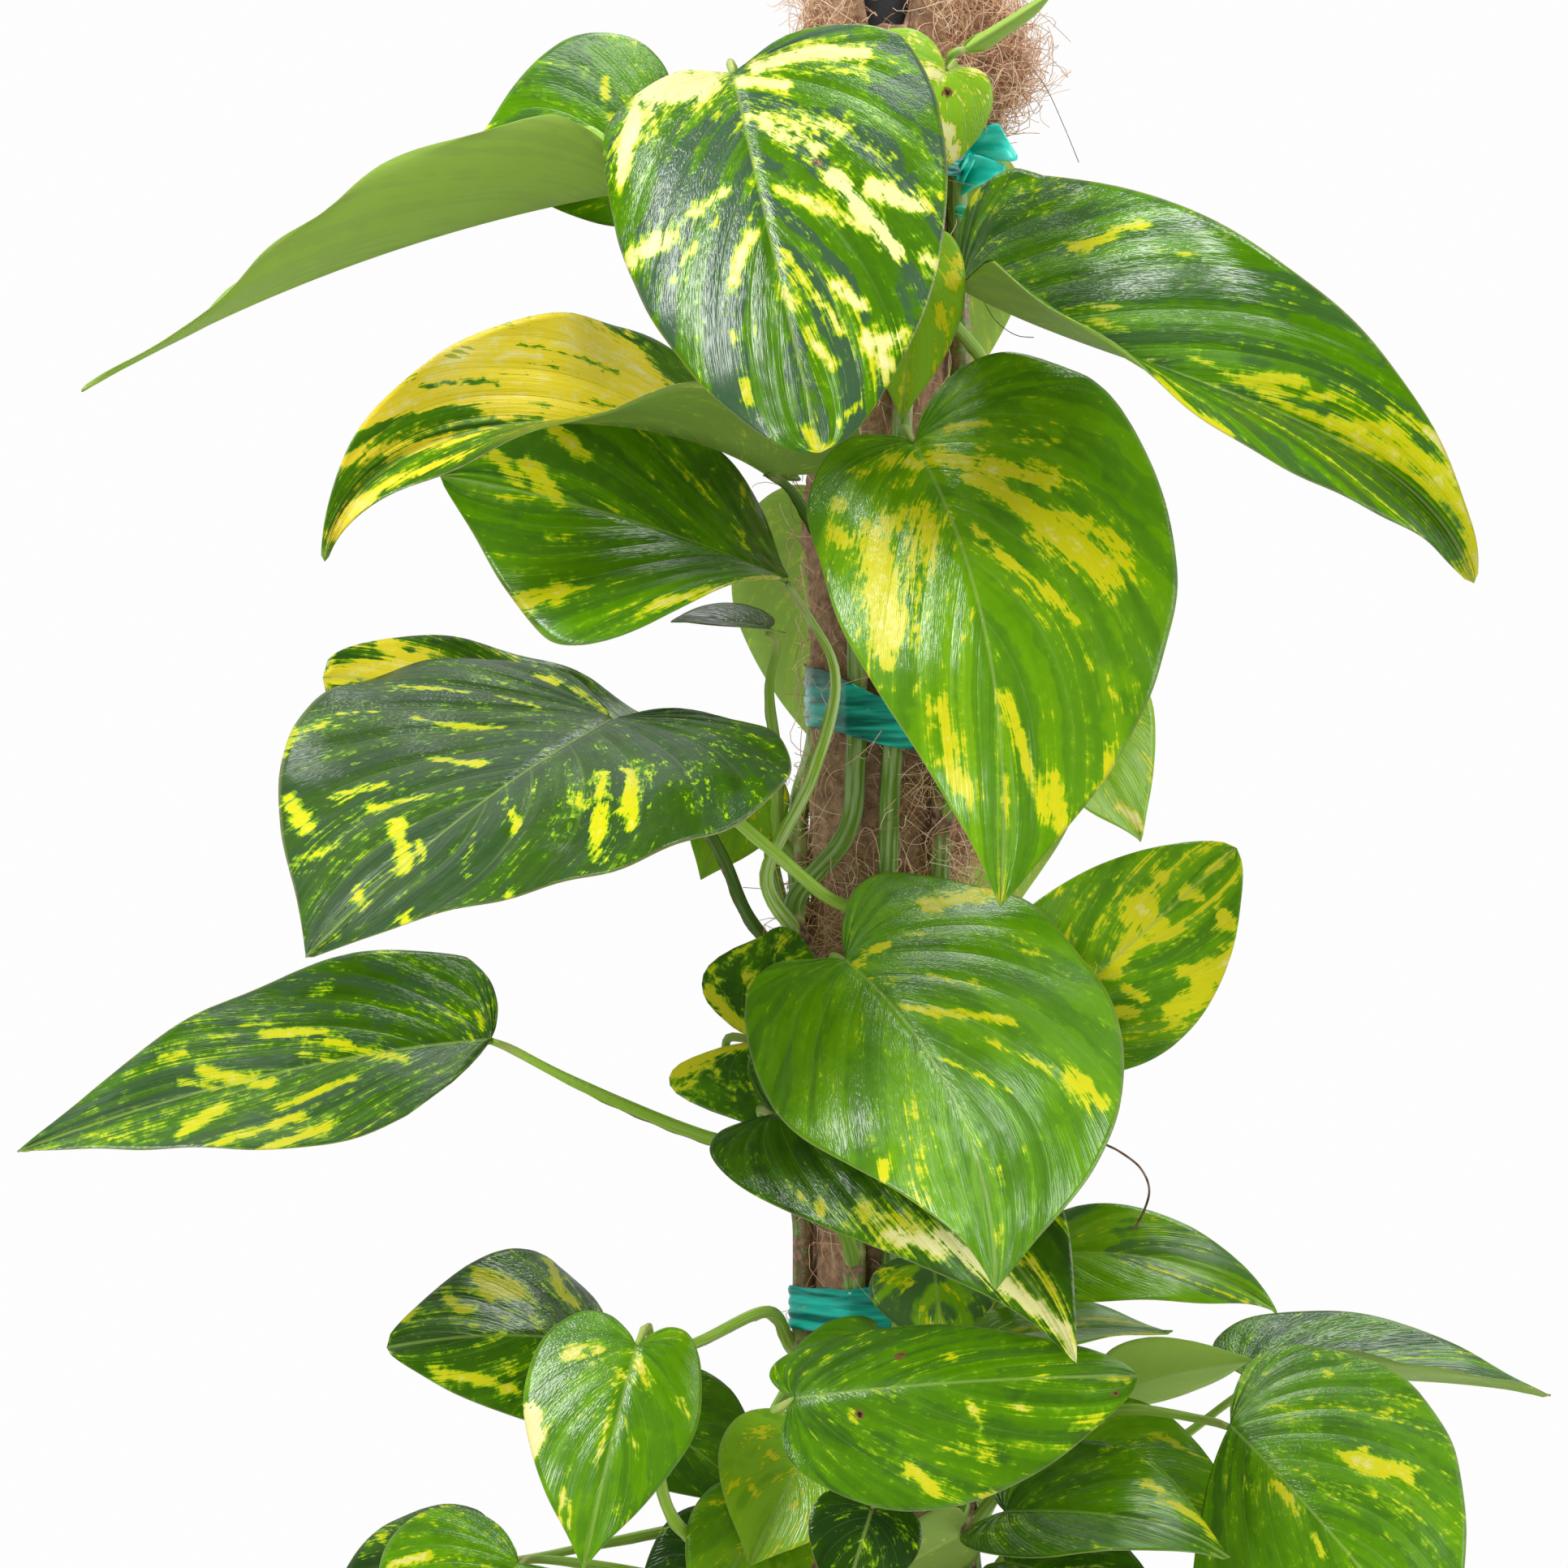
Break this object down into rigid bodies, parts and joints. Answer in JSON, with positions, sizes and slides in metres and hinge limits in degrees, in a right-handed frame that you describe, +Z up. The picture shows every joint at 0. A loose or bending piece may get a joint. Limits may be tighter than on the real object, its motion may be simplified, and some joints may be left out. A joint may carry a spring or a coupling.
{
  "type": "potted golden pothos",
  "caption": "Variegated heart-leaved climber tied to a coir pole that stands in a tapered nursery pot of potting soil.",
  "frame": {"origin": "centre of the pot's flat underside, on the axis of the pole", "axes": "+Z up along the pole; the plant's front, which the picture shows, looks towards -Y; +X is to the right in that view"},
  "size_m": [0.6942, 0.3656, 1.088],
  "materials": {
    "leaf": "waxy and half glossy above, paler and duller below, green with lemon-yellow and cream flecks and streaks",
    "stem": "green ribbed stems and petioles, pale striped, brown and corky at the nodes",
    "coir": "matted reddish-brown coconut fibre",
    "pipe": "dark slate-grey plastic pipe, satin",
    "tie": "stretchy teal-green garden tape, slightly translucent",
    "soil": "dark crumbly potting mix of bark and fibre",
    "pot": "moulded anthracite plastic, satin"
  },
  "bodies": {
    "root": {"pot": "pot", "soil": "soil", "pipe": "pipe", "coir": "coir", "tie_crown": "tie", "tie_upper": "tie", "tie_middle": "tie", "tie_lower": "tie", "stem_front": "stem", "stem_centre": "stem", "stem_right": "stem", "stem_left": "stem", "stem_back": "stem", "leaf_01": "leaf", "leaf_02": "leaf", "leaf_03": "leaf", "leaf_04": "leaf", "leaf_05": "leaf", "leaf_06": "leaf", "leaf_07": "leaf", "leaf_08": "leaf", "leaf_09": "leaf", "leaf_10": "leaf", "leaf_11": "leaf", "leaf_12": "leaf", "leaf_13": "leaf", "leaf_14": "leaf", "leaf_15": "leaf", "leaf_16": "leaf", "leaf_17": "leaf", "leaf_18": "leaf", "leaf_19": "leaf", "leaf_20": "leaf", "leaf_21": "leaf", "leaf_22": "leaf", "leaf_23": "leaf", "leaf_24": "leaf", "leaf_25": "leaf", "leaf_26": "leaf", "leaf_27": "leaf", "leaf_28": "leaf", "leaf_29": "leaf", "leaf_30": "leaf", "leaf_31": "leaf", "leaf_32": "leaf", "leaf_33": "leaf", "leaf_34": "leaf", "leaf_35": "leaf", "leaf_36": "leaf", "leaf_37": "leaf", "leaf_38": "leaf", "leaf_39": "leaf", "leaf_40": "leaf", "leaf_41": "leaf", "leaf_42": "leaf", "leaf_43": "leaf", "leaf_44": "leaf", "leaf_45": "leaf", "leaf_46": "leaf", "leaf_47": "leaf"}
  },
  "joints": []
}
